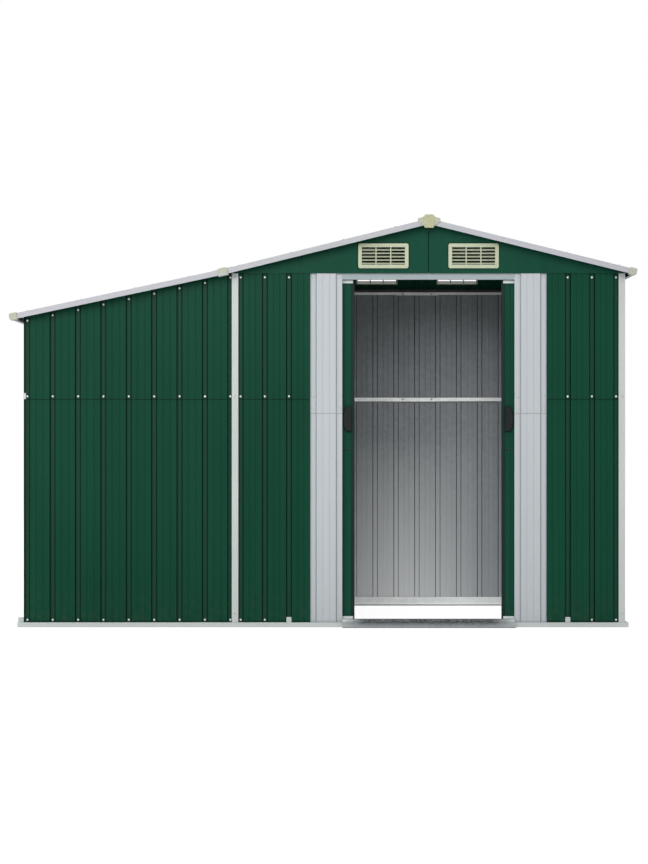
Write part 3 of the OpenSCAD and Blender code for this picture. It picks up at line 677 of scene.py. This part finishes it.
class Finishes:
    """The materials of the shed, each made once."""

    def __init__(self) -> None:
        """Makes every material."""
        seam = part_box("front_wall_upper")[0][2]
        leaf_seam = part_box("left_door_panels")[0][2] + LEAF_SEAM_RISE
        jamb_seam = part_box("jamb_panels_upper")[0][2]
        mid_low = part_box("back_mid_rails")[0][2]
        green, light = linear(14, 63, 47), linear(20, 73, 56)

        self.sheet = {}
        for side in (Facing.FRONT, Facing.BACK, Facing.LEFT, Facing.RIGHT):
            kind = LitSheet if side is Facing.BACK else PaintedSheet
            plane = outer_plane(f"{side.word}_wall_lower", side)
            self.sheet[side] = kind(f"green_sheet_{side.word}", side, (seam,), plane).make()
        # Painted shade: the main roof's bare underside is painted dark.
        self.roof = PaintedSheet(
            "green_roof", Facing.SKY, inside=linear(98, 102, 104), inside_dark=linear(88, 92, 94),
            inside_metal=0.3,
        ).make()
        # Painted light: the lean-to roof's bare underside is painted pale.
        self.roof_leanto = PaintedSheet(
            "green_roof_leanto", Facing.SKY, inside=linear(196, 199, 200),
            inside_dark=linear(184, 187, 188), inside_metal=0.5,
        ).make()
        self.gable = {
            side: PaintedSheet(
                f"green_gable_{side.word}", side, inside=green, inside_dark=light, inside_metal=0.0,
                inside_crease=green, paint=green, paint_light=light,
            ).make()
            for side in (Facing.FRONT, Facing.BACK)
        }
        self.leaf = PaintedSheet(
            "green_leaf", Facing.FRONT, (leaf_seam,), paint=green, paint_light=light,
        ).make()
        self.jamb = PaintedSheet(
            "pale_jamb", Facing.FRONT, (jamb_seam,), paint=linear(187, 192, 196),
            paint_light=linear(182, 187, 191), crease=linear(148, 153, 157), dust=linear(176, 177, 174),
            bead_share=0.12, shine=0.2,
        ).make()

        self.white = CoatedSteel("pale_coat", linear(193, 200, 198), linear(184, 190, 189)).make()
        self.trim = CoatedSteel("trim_coat", linear(182, 183, 188), linear(174, 176, 181)).make()
        # Painted shade: the header is the pale coat painted darker.
        self.header = CoatedSteel("header_coat", linear(158, 169, 171), linear(150, 160, 163)).make()
        self.dark = CoatedSteel("dark_coat", linear(24, 44, 40), linear(18, 36, 33), shine=0.1).make()
        self.leaf_rail = CoatedSteel("leaf_rail_coat", linear(222, 227, 227), linear(212, 217, 217)).make()

        self.zinc = SpangledZinc("bare_zinc").make()
        self.rail = SpangledZinc(
            "rail_zinc", linear(228, 231, 231), linear(216, 219, 219), metal=0.4,
        ).make()
        # Painted shade along the lower edge of the back mid rails.
        self.mid_rail = TonedZinc(
            "mid_rail_zinc", linear(246, 248, 247), linear(236, 238, 237), metal=0.4, grime_reach=0.006,
            base=mid_low, tone=linear(92, 95, 96), tone_from=0.0066, tone_full=0.0056,
        ).make()
        # Painted light: a near-white band along the back base rail's lower edge.
        self.back_base = TonedZinc(
            "back_base_zinc", linear(232, 235, 235), linear(220, 223, 223), metal=0.4, grime_reach=0.004,
            tone=linear(252, 252, 252), tone_from=0.016, tone_full=0.010,
        ).make()
        # Painted shade on the back top rail above 1.558 m.
        self.top_rail = TonedZinc(
            "top_rail_zinc", linear(238, 240, 238), linear(226, 228, 226), metal=0.5,
        ).make()
        self.sill = TroddenZinc(
            "sill_zinc", linear(182, 189, 190), linear(156, 163, 165), metal=0.1, grime_reach=0.005,
        ).make()

        self.cream = MouldedPlastic("vent_cream", linear(188, 195, 169), linear(181, 188, 160)).make()
        self.ridge_cream = FadedPlastic("ridge_cream", linear(181, 181, 146), linear(174, 173, 138)).make()
        self.eave_cream = TuckedPlastic("eave_cream", linear(180, 183, 166), linear(174, 176, 159)).make()
        self.black = MouldedPlastic(
            "black_moulding", linear(31, 36, 36), linear(25, 29, 29), roughness=0.45, shine=0.1,
        ).make()

        screw = CoatedSteel("screw_coat", linear(226, 236, 230), linear(208, 219, 213), roughness=0.35)
        jamb_screw = CoatedSteel(
            "jamb_screw_coat", linear(205, 214, 211), linear(195, 204, 201), roughness=0.35,
        )
        nut = SpangledZinc(
            "nut_zinc", linear(205, 208, 206), linear(188, 191, 189), metal=0.1, grime_reach=0.001,
        )
        self.screw = Coat(screw.make(), WHITE_SLOT)
        self.jamb_screw = Coat(jamb_screw.make(), WHITE_SLOT)
        self.fitting = Coat(self.white, WHITE_SLOT)
        self.nut = Coat(nut.make(), ZINC_SLOT)

    def dress(self, material: Material, *names: str) -> None:
        """Gives CAD pieces a material.

        Args:
            material: Material to use.
            names: Names of the pieces.
        """
        for name in names:
            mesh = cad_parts[name].data
            mesh.materials.clear()
            mesh.materials.append(material)


def add_piece(name: str, form: bmesh.types.BMesh, finish: Coat, body: str) -> bpy.types.Object:
    """Turns a form into a piece that rides on a CAD body.

    Args:
        name: Name of the piece.
        form: Its shape, which is freed.
        finish: Its material and the slot that it stands for.
        body: CAD body that it rides on.

    Returns:
        The new object.
    """
    mesh = bpy.data.meshes.new(name)
    form.to_mesh(mesh)
    form.free()
    mesh.materials.append(finish.material)
    piece = bpy.data.objects.new(name, mesh)
    bpy.context.scene.collection.objects.link(piece)
    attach(piece, body)
    LOG.info("made %s: %d faces", name, len(mesh.polygons))
    return piece


@dataclass(frozen=True)
class ScrewPlace:
    """Where one screw sits."""

    point: Vector
    outward: Vector
    turn: float


@dataclass
class ScrewKind:
    """A hexagon-head sheet screw with its sealing washer."""

    washer_r: float = 0.0051
    washer_h: float = 0.0012
    washer_taper: float = 0.82
    washer_sides: int = 16
    head_r: float = 0.0037
    head_h: float = 0.0030
    head_bevel: float = 0.0006
    head_sides: int = 6

    def prototype(self) -> bpy.types.Mesh:
        """Models one screw, standing on the origin and pointing up.

        Returns:
            The screw's mesh.
        """
        mesh = bpy.data.meshes.new("screw_prototype")
        form = bmesh.new()
        bmesh.ops.create_cone(
            form, cap_ends=True, segments=self.washer_sides, radius1=self.washer_r,
            radius2=self.washer_r * self.washer_taper, depth=self.washer_h,
            matrix=Matrix.Translation((0.0, 0.0, self.washer_h / 2)),
        )
        head = bmesh.ops.create_cone(
            form, cap_ends=True, segments=self.head_sides, radius1=self.head_r, radius2=self.head_r,
            depth=self.head_h, matrix=Matrix.Translation((0.0, 0.0, self.washer_h + self.head_h / 2)),
        )
        top = self.washer_h + self.head_h
        rim = [
            edge for edge in form.edges
            if edge.verts[0] in head["verts"] and all(abs(v.co.z - top) < TOUCHING for v in edge.verts)
        ]
        bmesh.ops.bevel(
            form, geom=rim, offset=self.head_bevel, affect="EDGES", segments=1, profile=0.5, material=-1,
        )
        form.to_mesh(mesh)
        form.free()
        return mesh

    def drive(self, name: str, places: list[ScrewPlace], finish: Coat) -> None:
        """Puts screws in place as one mesh on the shed.

        Args:
            name: Name of the piece.
            places: Where the screws sit.
            finish: Finish of the screws.
        """
        model = self.prototype()
        form = bmesh.new()
        for place in places:
            first = len(form.verts)
            form.from_mesh(model)
            form.verts.ensure_lookup_table()
            aim = place.outward.to_track_quat("Z", "Y").to_matrix().to_4x4()
            turned = aim @ Matrix.Rotation(place.turn, 4, "Z")
            stand = Matrix.Translation(place.point) @ turned
            bmesh.ops.transform(form, matrix=stand, verts=form.verts[first:])
        add_piece(name, form, finish, SHED)
        bpy.data.meshes.remove(model)


@dataclass
class RibbedWall:
    """One wall of ribbed sheets, with screws in its grooves."""

    name: str
    facing: Facing
    grooves: list[float]
    tabs: tuple[int, ...] = ()
    groove_depth: float = 0.007
    sheet: float = 0.0008
    bottom_rise: float = 0.010
    seam_rise: float = 0.012
    top_drop: float = 0.0215
    groove_turn: float = 0.7
    row_turn: float = 1.9

    @property
    def lower(self) -> str:
        """Name of the lower sheet."""
        return f"{self.name}_lower"

    @property
    def upper(self) -> str:
        """Name of the upper sheet."""
        return f"{self.name}_upper"

    def plane(self) -> float:
        """Distance of the lower sheet's outer face along the outward direction."""
        return outer_plane(self.lower, self.facing)

    def top(self, along: float) -> float:
        """Height of the upper sheet's top edge at a place along the wall."""
        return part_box(self.upper)[1][2]

    def places(self) -> list[ScrewPlace]:
        """Works out where the screws of the wall sit.

        Returns:
            Three places for each groove, or two above a tab.
        """
        outward = self.facing.outward
        floor = self.plane() - self.groove_depth
        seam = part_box(self.upper)[0][2]
        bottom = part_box(self.lower)[0][2]
        found = []
        for number, along in enumerate(self.grooves):
            rows = (
                (bottom + self.bottom_rise, floor),
                (seam + self.seam_rise, floor + self.sheet),
                (self.top(along) - self.top_drop, floor + self.sheet),
            )
            for row, (height, depth) in enumerate(rows):
                if row or number not in self.tabs:
                    point = self.facing.along * along + outward * depth + UPWARD * height
                    turn = self.groove_turn * number + self.row_turn * row
                    found.append(ScrewPlace(point, outward, turn))
        return found


@dataclass
class SlopedWall(RibbedWall):
    """A ribbed wall whose top follows the lean-to's roof."""

    high_along: float = -0.443
    high_z: float = 1.573
    slope: float = math.tan(math.radians(12.0))
    roof_drop: float = 0.007

    def top(self, along: float) -> float:
        """Finds the height of the sloped top edge.

        Args:
            along: Place along the wall.

        Returns:
            The height there.
        """
        if along > self.high_along:
            return self.high_z
        return self.high_z - self.roof_drop - self.slope * (self.high_along - along)


def spread(first: float, last: float, pitch: float) -> list[float]:
    """Spaces places evenly from the first to the last, about a pitch apart."""
    count = max(1, round((last - first) / pitch))
    return [first + (last - first) * i / count for i in range(count + 1)]


def thick_plate(outline: list[Vector], depth: Vector, radius: float) -> bmesh.types.BMesh:
    """Raises a flat outline into a plate and rounds the edges that run through it.

    Args:
        outline: Corners of the flat side, in order.
        depth: How far and which way the plate is raised.
        radius: Radius of the rounded edges.

    Returns:
        The plate.
    """
    form = bmesh.new()
    flat = form.faces.new([form.verts.new(corner) for corner in outline])
    raised = bmesh.ops.extrude_face_region(form, geom=[flat])["geom"]
    corners = [part for part in raised if isinstance(part, bmesh.types.BMVert)]
    bmesh.ops.translate(form, vec=depth, verts=corners)
    direction = depth.normalized()
    through = [
        edge for edge in form.edges
        if abs((edge.verts[1].co - edge.verts[0].co).normalized().dot(direction)) > SAME_WAY
    ]
    bmesh.ops.bevel(form, geom=through, offset=radius, affect="EDGES", segments=3, profile=0.5, material=-1)
    bmesh.ops.recalc_face_normals(form, faces=form.faces[:])
    return form


@dataclass
class BaseTab:
    """An upright tongue of the base rail in the mouth of a groove."""

    middle: float
    plane: float
    width: float = 0.0225
    height: float = 0.023
    setback: float = 0.002
    thickness: float = 0.0012
    corner: float = 0.0025

    def build(self, name: str, finish: Coat) -> None:
        """Makes the tab.

        Args:
            name: Name of the piece.
            finish: Its finish.
        """
        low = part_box("front_wall_lower")[0][2]
        front = self.setback - self.plane
        half = self.width / 2
        outline = [
            Vector((self.middle + across, front, low + rise))
            for across, rise in ((-half, 0.0), (half, 0.0), (half, self.height), (-half, self.height))
        ]
        add_piece(name, thick_plate(outline, REARWARD * self.thickness, self.corner), finish, SHED)


@dataclass
class EdgeClip:
    """A folded clip round the open edge of a lean-to wall, at the end of its mid rail."""

    facing: Facing
    leg: float = 0.0105
    reach: float = 0.011
    thickness: float = 0.0012
    gap: float = 0.0002
    height: float = 0.027
    fold: float = 0.0005

    def build(self, name: str, finish: Coat) -> None:
        """Makes the clip.

        Args:
            name: Name of the piece.
            finish: Its finish.
        """
        sheet = f"leanto_{self.facing.word}_upper"
        low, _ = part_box(sheet)
        face = outer_plane(sheet, self.facing) + self.gap
        side = low[0] - self.gap
        toe, outside = side + self.leg, side - self.thickness
        crown, root = face + self.thickness, face - self.reach
        section = (
            (toe, face), (toe, crown), (outside, crown), (outside, root), (side, root), (side, face),
        )
        outline = [Vector((x, 0.0, low[2])) + self.facing.outward * depth for x, depth in section]
        add_piece(name, thick_plate(outline, UPWARD * self.height, self.fold), finish, SHED)


@dataclass
class Walls:
    """The ribbed walls and the pale jamb panels."""

    finishes: Finishes
    screws: ScrewKind
    shed_pitch: float = 0.106
    leanto_pitch: float = 0.112
    post_inset: float = 0.037
    edge_inset: float = 0.015
    groove_half: float = 0.013
    strip_depth: float = 0.007
    strip_half: float = 0.0125
    jamb_width: float = 0.142
    jamb_end: float = 0.018
    jamb_lap: float = 0.076
    jamb_turn: float = 9.0
    tab_grooves: tuple[int, ...] = (2, 5)

    def layout(self) -> list[RibbedWall]:
        """Finds the places of the grooves on every wall.

        Returns:
            The walls.
        """
        front_low, front_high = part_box("front_wall_lower")
        jamb_low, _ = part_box("jamb_panels_lower")
        leanto_low, leanto_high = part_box("leanto_front_lower")
        side_low, side_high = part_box("right_wall_lower")
        middle = (front_low[0] + front_high[0]) / 2
        first = front_low[0] + self.post_inset
        front_left = spread(first, jamb_low[0] + self.groove_half, self.shed_pitch)[:-1]
        front = front_left + [2 * middle - x for x in front_left]
        back = spread(first, front_high[0] - self.post_inset, self.shed_pitch)
        side = spread(side_low[1] + self.post_inset, side_high[1] - self.post_inset, self.shed_pitch)
        leanto_last = leanto_high[0] - self.groove_half / 2
        leanto = spread(leanto_low[0] + self.edge_inset, leanto_last, self.leanto_pitch)
        return [
            RibbedWall("front_wall", Facing.FRONT, front, self.tab_grooves),
            RibbedWall("back_wall", Facing.BACK, back),
            RibbedWall("right_wall", Facing.RIGHT, side),
            RibbedWall("left_wall", Facing.LEFT, side),
            SlopedWall("leanto_front", Facing.FRONT, leanto),
            SlopedWall("leanto_back", Facing.BACK, leanto),
        ]

    def build(self) -> None:
        """Dresses the walls, drives their screws and adds their tabs and clips."""
        for wall in self.layout():
            self.finishes.dress(self.finishes.sheet[wall.facing], wall.lower, wall.upper)
            self.screws.drive(f"{wall.name}_screws", wall.places(), self.finishes.screw)
            for number in wall.tabs:
                tab = BaseTab(wall.grooves[number], wall.plane())
                tab.build(f"base_tab_{number}", self.finishes.fitting)
        for facing in (Facing.FRONT, Facing.BACK):
            EdgeClip(facing).build(f"edge_clip_{facing.word}", self.finishes.fitting)
        self.finishes.dress(self.finishes.jamb, "jamb_panels_lower", "jamb_panels_upper")
        self.screws.drive("jamb_screws", self.jamb_places(), self.finishes.jamb_screw)

    def jamb_places(self) -> list[ScrewPlace]:
        """Works out where the screws of the jamb panels sit.

        Returns:
            The places in the four strips.
        """
        low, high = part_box("jamb_panels_upper")
        middle = (low[0] + high[0]) / 2
        floor = low[1] + self.strip_depth
        heights = (low[2] + self.jamb_end, low[2] + self.jamb_lap, high[2] - self.jamb_end)
        return [
            ScrewPlace(Vector((x, floor, height)), Facing.FRONT.outward, self.jamb_turn * height)
            for across in (low[0] + self.strip_half, low[0] + self.jamb_width - self.strip_half)
            for height in heights
            for x in (across, 2 * middle - across)
        ]


@dataclass
class Frame:
    """Base, posts, rails, tracks and beams."""

    finishes: Finishes
    screws: ScrewKind
    post_half: float = 0.0135
    post_heights: tuple[float, ...] = (0.062, 1.023, 1.5515)
    post_turn: float = 5.0
    splice_half: float = 0.071
    mid_nut_rise: float = 0.0165
    top_nut_rise: float = 0.0055
    nut_turn: float = 11.0

    def build(self) -> None:
        """Dresses the frame and drives its screws and nuts."""
        coats = self.finishes
        coats.dress(coats.white, "base_rail_front", "base_rails_side", "leanto_posts")
        coats.dress(coats.white, "corner_posts_front", "corner_posts_back")
        coats.dress(coats.rail, "side_top_rails", "leanto_top_rails", "front_mid_rails", "side_mid_rails")
        coats.dress(coats.back_base, "base_rail_back")
        coats.dress(coats.mid_rail, "back_mid_rails")
        coats.dress(coats.top_rail, "back_top_rail")
        coats.dress(coats.header, "door_header")
        coats.dress(coats.zinc, "door_floor_track", "door_track", "roof_beams")
        coats.dress(coats.sill, "door_sill")
        self.screws.drive("post_screws", self.post_places(), coats.fitting)
        self.screws.drive("splice_nuts", self.splice_places(), coats.nut)

    def post_places(self) -> list[ScrewPlace]:
        """Works out where the screws of the corner posts sit.

        Returns:
            The places on the front and back posts.
        """
        found = []
        for name, facing in (("corner_posts_front", Facing.FRONT), ("corner_posts_back", Facing.BACK)):
            low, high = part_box(name)
            depth = high[1] if facing is Facing.BACK else low[1]
            for across in (low[0] + self.post_half, high[0] - self.post_half):
                for height in self.post_heights:
                    point = Vector((across, depth, height))
                    found.append(ScrewPlace(point, facing.outward, self.post_turn * height))
        return found

    def splice_places(self) -> list[ScrewPlace]:
        """Works out where the nuts of the spliced back rails sit.

        Returns:
            Two places on each rail.
        """
        door_low, door_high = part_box("door_header")
        middle = (door_low[0] + door_high[0]) / 2
        found = []
        for name, rise in (("back_mid_rails", self.mid_nut_rise), ("back_top_rail", self.top_nut_rise)):
            low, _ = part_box(name)
            for across in (middle - self.splice_half, middle + self.splice_half):
                point = Vector((across, low[1], low[2] + rise))
                found.append(ScrewPlace(point, Facing.FRONT.outward, self.nut_turn * across))
        return found


@dataclass(frozen=True)
class Slope:
    """One slope of the roof, with places measured down, across and square to it."""

    top: Vector
    down: Vector
    square: Vector
    length: float

    def place(self, down: float, across: float, rise: float) -> Vector:
        """Finds the place so far below the top edge, along Y and above the underside of the sheets."""
        return self.top + self.down * down + REARWARD * across + self.square * rise

    def screws(
        self, rows: Sequence[float], lines: Sequence[float], rise: float, turns: Span,
    ) -> list[ScrewPlace]:
        """Puts screws where rows on the slope cross lines that run down it.

        Args:
            rows: Distances of the rows from the top edge.
            lines: Places of the lines along Y.
            rise: Height of the screws above the underside of the sheets.
            turns: Turn of a screw for each metre along Y and for each metre down.

        Returns:
            The places.
        """
        return [
            ScrewPlace(self.place(row, line, rise), self.square, turns[0] * line + turns[1] * row)
            for row in rows for line in lines
        ]


@dataclass
class Roof:
    """Roof sheets, trims, caps, gables and vents."""

    finishes: Finishes
    screws: ScrewKind
    pitch: float = math.radians(13.8)
    leanto_pitch: float = math.radians(12.0)
    sheet_top: float = 0.0078
    groove_floor: float = 0.0008
    trim_top: float = 0.0090
    cover_top: float = 0.0102
    groove_inset: float = 0.0542
    groove_gaps: int = 9
    cover_row: float = 0.032
    sheet_row: float = 0.075
    trim_inset: float = 0.020
    trim_pitch: float = 0.22
    sheet_turns: Span = (7.0, 3.0)
    cover_turns: Span = (7.0, 0.0)
    trim_turns: Span = (0.0, 9.0)

    def build(self) -> None:
        """Dresses the roof and drives its screws."""
        self.drive_screws()
        coats = self.finishes
        coats.dress(coats.roof, "roof_right", "roof_left")
        coats.dress(coats.roof_leanto, "roof_leanto")
        coats.dress(coats.gable[Facing.FRONT], "front_gable")
        coats.dress(coats.gable[Facing.BACK], "back_gable")
        coats.dress(coats.trim, "rake_trims", "eave_trims", "ridge_cap", "roof_joint_trim")
        coats.dress(coats.cream, "front_vents", "back_vents")
        coats.dress(coats.ridge_cream, "ridge_end_caps")
        coats.dress(coats.eave_cream, "eave_end_caps")

    def drive_screws(self) -> None:
        """Drives screws into the sheets' grooves, the gable trims, the ridge cap and the joint trim."""
        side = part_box("rake_trims")[1][1]
        edge, trim = side - self.groove_inset, side - self.trim_inset
        grooves = [edge * (2 * i / self.groove_gaps - 1) for i in range(self.groove_gaps + 1)]
        fields = [(a + b) / 2 for a, b in zip(grooves, grooves[1:])][::2]
        slopes = self.slopes()
        sheets, rakes, covers = [], [], []
        for slope in slopes:
            last = slope.length - self.sheet_row
            rows = (self.sheet_row, slope.length / 2, last)
            sheets += slope.screws(rows, grooves, self.groove_floor, self.sheet_turns)
            rows = spread(2 * self.sheet_row, last, self.trim_pitch)
            rakes += slope.screws(rows, (-trim, trim), self.trim_top, self.trim_turns)
        right, left, leanto = slopes
        joint_row = left.length - self.cover_row
        for slope, rows in (
            (right, (self.cover_row,)), (left, (self.cover_row, joint_row)), (leanto, (self.cover_row,)),
        ):
            covers += slope.screws(rows, fields, self.cover_top, self.cover_turns)
        self.screws.drive("roof_sheet_screws", sheets, self.finishes.screw)
        self.screws.drive("rake_trim_screws", rakes, self.finishes.fitting)
        self.screws.drive("cover_screws", covers, self.finishes.fitting)

    def slopes(self) -> tuple[Slope, Slope, Slope]:
        """Works out the slopes from the sheets' boxes.

        Returns:
            The right, left and lean-to slopes.
        """
        cap_low, cap_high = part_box("ridge_cap")
        low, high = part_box("roof_right")
        ridge = (cap_low[0] + cap_high[0]) / 2
        length = (high[0] - ridge - self.sheet_top * math.sin(self.pitch)) / math.cos(self.pitch)
        top = Vector((ridge, 0.0, low[2] + length * math.sin(self.pitch)))
        right = self.slope(top, 1.0, self.pitch, length)
        left = self.slope(top, -1.0, self.pitch, length)
        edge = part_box("roof_leanto")[0][0]
        joint = left.place(length, 0.0, 0.0)
        run = joint.x - edge - self.sheet_top * math.sin(self.leanto_pitch)
        return right, left, self.slope(joint, -1.0, self.leanto_pitch, run / math.cos(self.leanto_pitch))

    def slope(self, top: Vector, side: float, pitch: float, length: float) -> Slope:
        """Makes one slope.

        Args:
            top: Middle of its top edge, on the underside of the sheets.
            side: 1 for a slope that falls to the right, -1 to the left.
            pitch: Its angle.
            length: Its length.

        Returns:
            The slope.
        """
        down = Vector((side * math.cos(pitch), 0.0, -math.sin(pitch)))
        square = Vector((side * math.sin(pitch), 0.0, math.cos(pitch)))
        return Slope(top, down, square, length)


@dataclass
class DoorLeaf:
    """One sliding leaf."""

    finishes: Finishes
    side: str

    def build(self) -> None:
        """Dresses the leaf."""
        coats = self.finishes
        coats.dress(coats.leaf, f"{self.side}_panels")
        coats.dress(coats.leaf_rail, f"{self.side}_rails")
        coats.dress(coats.dark, f"{self.side}_stiles")
        coats.dress(coats.black, f"{self.side}_handle", f"{self.side}_hangers")


@dataclass(frozen=True)
class Lamp:
    """A soft square lamp that points at the shed, with its side in metres and its power in watts."""

    name: str
    place: tuple[float, float, float]
    size: float
    power: float

    def build(self) -> None:
        """Makes the lamp."""
        light = bpy.data.lights.new(self.name, "AREA")
        light.shape = "SQUARE"
        light.size = self.size
        light.energy = self.power
        holder = bpy.data.objects.new(self.name, light)
        holder.location = self.place
        middle = (CAD_BOX[0] + CAD_BOX[1]) / 2
        holder.rotation_euler = (middle - Vector(self.place)).to_track_quat("-Z", "Y").to_euler()
        bpy.context.scene.collection.objects.link(holder)


@dataclass
class Studio:
    """Pale floor, white surround and soft lamps."""

    floor_half: float = 40.0
    floor_colour: Colour = (0.82, 0.82, 0.82)
    floor_glow: float = 0.94
    floor_faint: Colour = (0.18, 0.18, 0.18)
    world_strength: float = 0.36
    lamps: tuple[Lamp, ...] = (
        Lamp("key_lamp", (-1.1, -7.5, 4.5), 5.0, 342.0),
        Lamp("fill_lamp", (-4.0, -7.0, 3.0), 4.0, 90.0),
        Lamp("top_lamp", (0.0, 0.5, 6.5), 5.0, 60.0),
        Lamp("back_lamp", (-1.5, 8.0, 4.4), 5.0, 260.0),
        Lamp("right_lamp", (7.5, 1.4, 3.2), 3.5, 170.0),
        Lamp("left_lamp", (-7.5, 1.4, 3.2), 3.5, 170.0),
    )

    def build(self) -> None:
        """Makes the world, the floor and the lamps."""
        self.make_world()
        self.make_floor()
        for lamp in self.lamps:
            lamp.build()

    def make_world(self) -> None:
        """Makes an even surround that the camera and reflections see as white."""
        world = bpy.data.worlds.new("white_surround")
        graph = NodeGraph(world, "ShaderNodeOutputWorld")
        lit, seen = (
            graph.add("ShaderNodeBackground", {"Color": WHITE, "Strength": strength}).outputs["Background"]
            for strength in (self.world_strength, 1.0)
        )
        graph.split(lit, seen)
        bpy.context.scene.world = world

    def make_floor(self) -> None:
        """Makes the floor, which shows nearly white and keeps the shed's shadow."""
        form = bmesh.new()
        bmesh.ops.create_grid(form, x_segments=1, y_segments=1, size=self.floor_half)
        mesh = bpy.data.meshes.new("floor")
        form.to_mesh(mesh)
        form.free()
        mesh.materials.append(self.floor_material())
        floor = bpy.data.objects.new("floor", mesh)
        bpy.context.scene.collection.objects.link(floor)

    def floor_material(self) -> Material:
        """Makes the floor's material: plain diffuse for light, a pale glow for what sees it.

        Returns:
            The material.
        """
        material = bpy.data.materials.new("pale_floor")
        graph = NodeGraph(material, "ShaderNodeOutputMaterial")
        lit, faint = (
            graph.add("ShaderNodeBsdfDiffuse", {"Color": colour}).outputs["BSDF"]
            for colour in (self.floor_colour, self.floor_faint)
        )
        glow = graph.add("ShaderNodeEmission", {"Strength": self.floor_glow}).outputs["Emission"]
        graph.split(lit, graph.add("ShaderNodeAddShader", {0: glow, 1: faint}).outputs["Shader"])
        return material


@dataclass
class PhotoCamera:
    """Camera level with the shed's middle, straight in front of it."""

    place: tuple[float, float, float] = (0.004, -8.39, 0.865)
    focal_px: float = 1780.0
    sensor: float = 36.0
    clip_end: float = 200.0
    level: float = math.radians(90.0)

    def build(self) -> None:
        """Makes the camera and uses it."""
        data = bpy.data.cameras.new("photo_camera")
        data.sensor_width = self.sensor
        data.lens = self.focal_px * self.sensor / PHOTO_HEIGHT_PX
        data.clip_end = self.clip_end
        camera = bpy.data.objects.new("photo_camera", data)
        camera.location = self.place
        camera.rotation_euler = (self.level, 0.0, 0.0)
        bpy.context.scene.collection.objects.link(camera)
        bpy.context.scene.camera = camera


def main() -> None:
    """Builds and dresses every sub-assembly in order."""
    logging.basicConfig(level=logging.INFO, format="%(message)s")
    PhotoCamera().build()
    Studio().build()
    finishes = Finishes()
    screws = ScrewKind()
    for assembly in (
        Frame(finishes, screws), Walls(finishes, screws), Roof(finishes, screws),
        DoorLeaf(finishes, LEFT_DOOR), DoorLeaf(finishes, RIGHT_DOOR),
    ):
        assembly.build()
        LOG.info("dressed %s", type(assembly).__name__)
    bpy.context.scene.view_settings.view_transform = "Standard"


if __name__ == "__main__":
    main()
